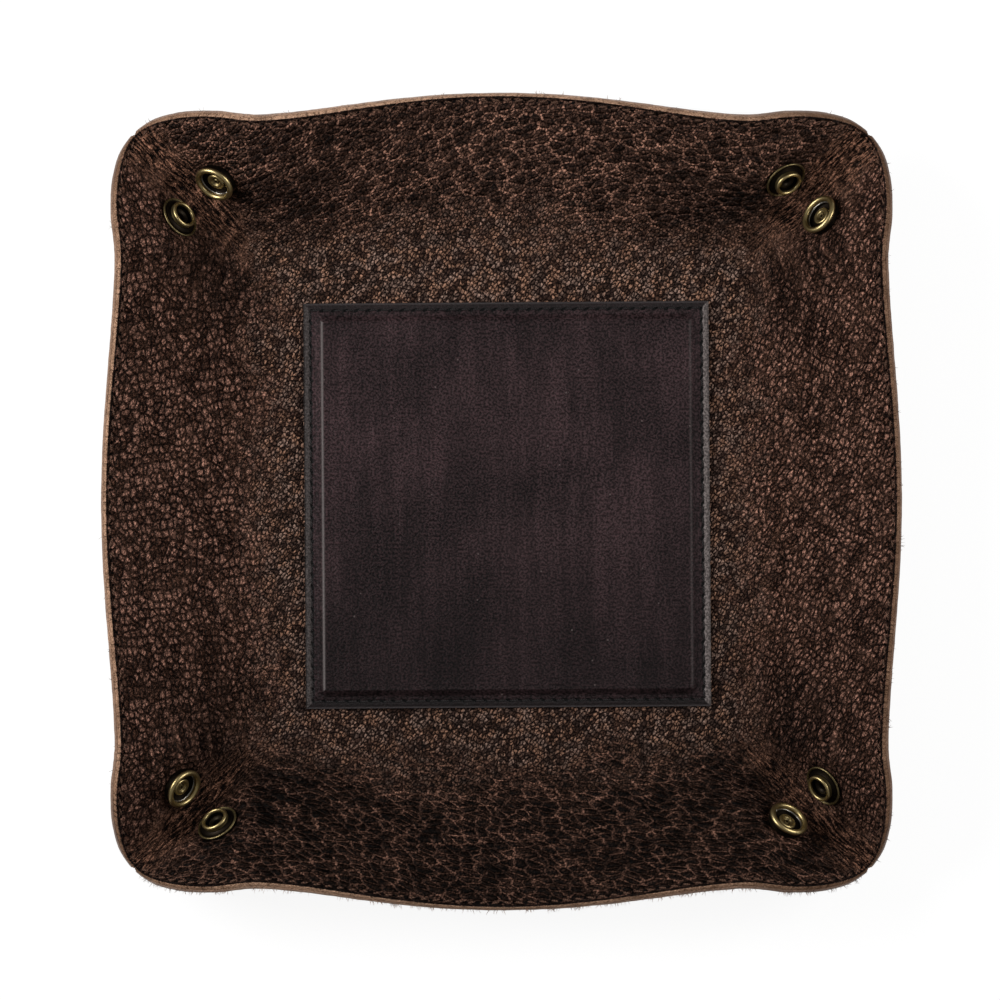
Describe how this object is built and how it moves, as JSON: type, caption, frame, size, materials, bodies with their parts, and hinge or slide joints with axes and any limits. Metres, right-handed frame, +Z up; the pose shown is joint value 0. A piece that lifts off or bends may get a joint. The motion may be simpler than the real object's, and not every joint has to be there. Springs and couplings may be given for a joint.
{
  "type": "leather snap tray",
  "caption": "Square leather catch-all tray with a raised padded centre panel, unsnapped; its walls fold up and pinch together with press snaps at the corners.",
  "frame": {"origin": "underside of the floor, at the middle of the tray", "axes": "+Z up out of the tray; +Y towards the north wall, along the slightly longer way; +X towards the east wall"},
  "size_m": [0.237, 0.243, 0.0351],
  "materials": {
    "pebbled_leather": "pebbled full-grain leather, waxed dark brown, lighter where it is rubbed",
    "backing_leather": "second leather, fibrous flesh side out, raw tan cut edge",
    "smooth_leather": "smooth satin black-brown leather with a faint mottle",
    "thread": "waxed black thread",
    "board": "plain fibre board, hidden",
    "antique_brass": "antique brass, rubbed bright on the rolled rims and dark in the hollows",
    "dark_brass": "darkened brass",
    "spring_wire": "bare spring wire"
  },
  "bodies": {
    "floor": {"floor_leather": "pebbled_leather", "floor_backing": "backing_leather", "stiffener_board": "board", "centre_panel": "smooth_leather", "panel_stitching": "thread"},
    "north_wall": {"north_wall_leather": "pebbled_leather", "north_wall_backing": "backing_leather"},
    "north_stud_flap": {"north_stud_flap_leather": "pebbled_leather", "north_stud_flap_backing": "backing_leather", "north_stud": "antique_brass", "north_stud_eyelet": "dark_brass"},
    "north_socket_flap": {"north_socket_flap_leather": "pebbled_leather", "north_socket_flap_backing": "backing_leather", "north_socket": "antique_brass", "north_socket_cap": "antique_brass", "north_ring_spring": "spring_wire"},
    "east_wall": {"east_wall_leather": "pebbled_leather", "east_wall_backing": "backing_leather"},
    "east_stud_flap": {"east_stud_flap_leather": "pebbled_leather", "east_stud_flap_backing": "backing_leather", "east_stud": "antique_brass", "east_stud_eyelet": "dark_brass"},
    "east_socket_flap": {"east_socket_flap_leather": "pebbled_leather", "east_socket_flap_backing": "backing_leather", "east_socket": "antique_brass", "east_socket_cap": "antique_brass", "east_ring_spring": "spring_wire"},
    "south_wall": {"south_wall_leather": "pebbled_leather", "south_wall_backing": "backing_leather"},
    "south_stud_flap": {"south_stud_flap_leather": "pebbled_leather", "south_stud_flap_backing": "backing_leather", "south_stud": "antique_brass", "south_stud_eyelet": "dark_brass"},
    "south_socket_flap": {"south_socket_flap_leather": "pebbled_leather", "south_socket_flap_backing": "backing_leather", "south_socket": "antique_brass", "south_socket_cap": "antique_brass", "south_ring_spring": "spring_wire"},
    "west_wall": {"west_wall_leather": "pebbled_leather", "west_wall_backing": "backing_leather"},
    "west_stud_flap": {"west_stud_flap_leather": "pebbled_leather", "west_stud_flap_backing": "backing_leather", "west_stud": "antique_brass", "west_stud_eyelet": "dark_brass"},
    "west_socket_flap": {"west_socket_flap_leather": "pebbled_leather", "west_socket_flap_backing": "backing_leather", "west_socket": "antique_brass", "west_socket_cap": "antique_brass", "west_ring_spring": "spring_wire"}
  },
  "joints": [
    {"name": "north_fold", "type": "hinge", "parent": "floor", "child": "north_wall", "pos_m": [0, 0.076, 0.0033], "axis": [1, 0, 0], "range_deg": [-23, 37.8], "stiffness_Nm_per_rad": 0.8},
    {"name": "north_stud_crease", "type": "hinge", "parent": "north_wall", "child": "north_stud_flap", "pos_m": [0.076, 0.076, 0.0033], "axis": [0, 0.7431, 0.6691], "range_deg": [-12.3, 20.2], "stiffness_Nm_per_rad": 0.15},
    {"name": "north_socket_crease", "type": "hinge", "parent": "north_wall", "child": "north_socket_flap", "pos_m": [-0.076, 0.076, 0.0033], "axis": [0, -0.7431, -0.6691], "range_deg": [-12.3, 20.2], "stiffness_Nm_per_rad": 0.15},
    {"name": "east_fold", "type": "hinge", "parent": "floor", "child": "east_wall", "pos_m": [0.076, 0, 0.0033], "axis": [0, -1, 0], "range_deg": [-23, 37.8], "stiffness_Nm_per_rad": 0.8},
    {"name": "east_stud_crease", "type": "hinge", "parent": "east_wall", "child": "east_stud_flap", "pos_m": [0.076, -0.076, 0.0033], "axis": [0.7431, 0, 0.6691], "range_deg": [-12.3, 20.2], "stiffness_Nm_per_rad": 0.15},
    {"name": "east_socket_crease", "type": "hinge", "parent": "east_wall", "child": "east_socket_flap", "pos_m": [0.076, 0.076, 0.0033], "axis": [-0.7431, 0, -0.6691], "range_deg": [-12.3, 20.2], "stiffness_Nm_per_rad": 0.15},
    {"name": "south_fold", "type": "hinge", "parent": "floor", "child": "south_wall", "pos_m": [0, -0.076, 0.0033], "axis": [-1, 0, 0], "range_deg": [-23, 37.8], "stiffness_Nm_per_rad": 0.8},
    {"name": "south_stud_crease", "type": "hinge", "parent": "south_wall", "child": "south_stud_flap", "pos_m": [-0.076, -0.076, 0.0033], "axis": [0, -0.7431, 0.6691], "range_deg": [-12.3, 20.2], "stiffness_Nm_per_rad": 0.15},
    {"name": "south_socket_crease", "type": "hinge", "parent": "south_wall", "child": "south_socket_flap", "pos_m": [0.076, -0.076, 0.0033], "axis": [0, 0.7431, -0.6691], "range_deg": [-12.3, 20.2], "stiffness_Nm_per_rad": 0.15},
    {"name": "west_fold", "type": "hinge", "parent": "floor", "child": "west_wall", "pos_m": [-0.076, 0, 0.0033], "axis": [0, 1, 0], "range_deg": [-23, 37.8], "stiffness_Nm_per_rad": 0.8},
    {"name": "west_stud_crease", "type": "hinge", "parent": "west_wall", "child": "west_stud_flap", "pos_m": [-0.076, 0.076, 0.0033], "axis": [-0.7431, 0, 0.6691], "range_deg": [-12.3, 20.2], "stiffness_Nm_per_rad": 0.15},
    {"name": "west_socket_crease", "type": "hinge", "parent": "west_wall", "child": "west_socket_flap", "pos_m": [-0.076, -0.076, 0.0033], "axis": [0.7431, 0, -0.6691], "range_deg": [-12.3, 20.2], "stiffness_Nm_per_rad": 0.15}
  ],
  "couplings": [
    {"joint": "north_stud_crease", "follows": "north_fold", "ratio": 0.5328},
    {"joint": "north_socket_crease", "follows": "north_fold", "ratio": 0.5328},
    {"joint": "east_fold", "follows": "north_fold", "ratio": 1},
    {"joint": "east_stud_crease", "follows": "north_fold", "ratio": 0.5328},
    {"joint": "east_socket_crease", "follows": "north_fold", "ratio": 0.5328},
    {"joint": "south_fold", "follows": "north_fold", "ratio": 1},
    {"joint": "south_stud_crease", "follows": "north_fold", "ratio": 0.5328},
    {"joint": "south_socket_crease", "follows": "north_fold", "ratio": 0.5328},
    {"joint": "west_fold", "follows": "north_fold", "ratio": 1},
    {"joint": "west_stud_crease", "follows": "north_fold", "ratio": 0.5328},
    {"joint": "west_socket_crease", "follows": "north_fold", "ratio": 0.5328}
  ]
}
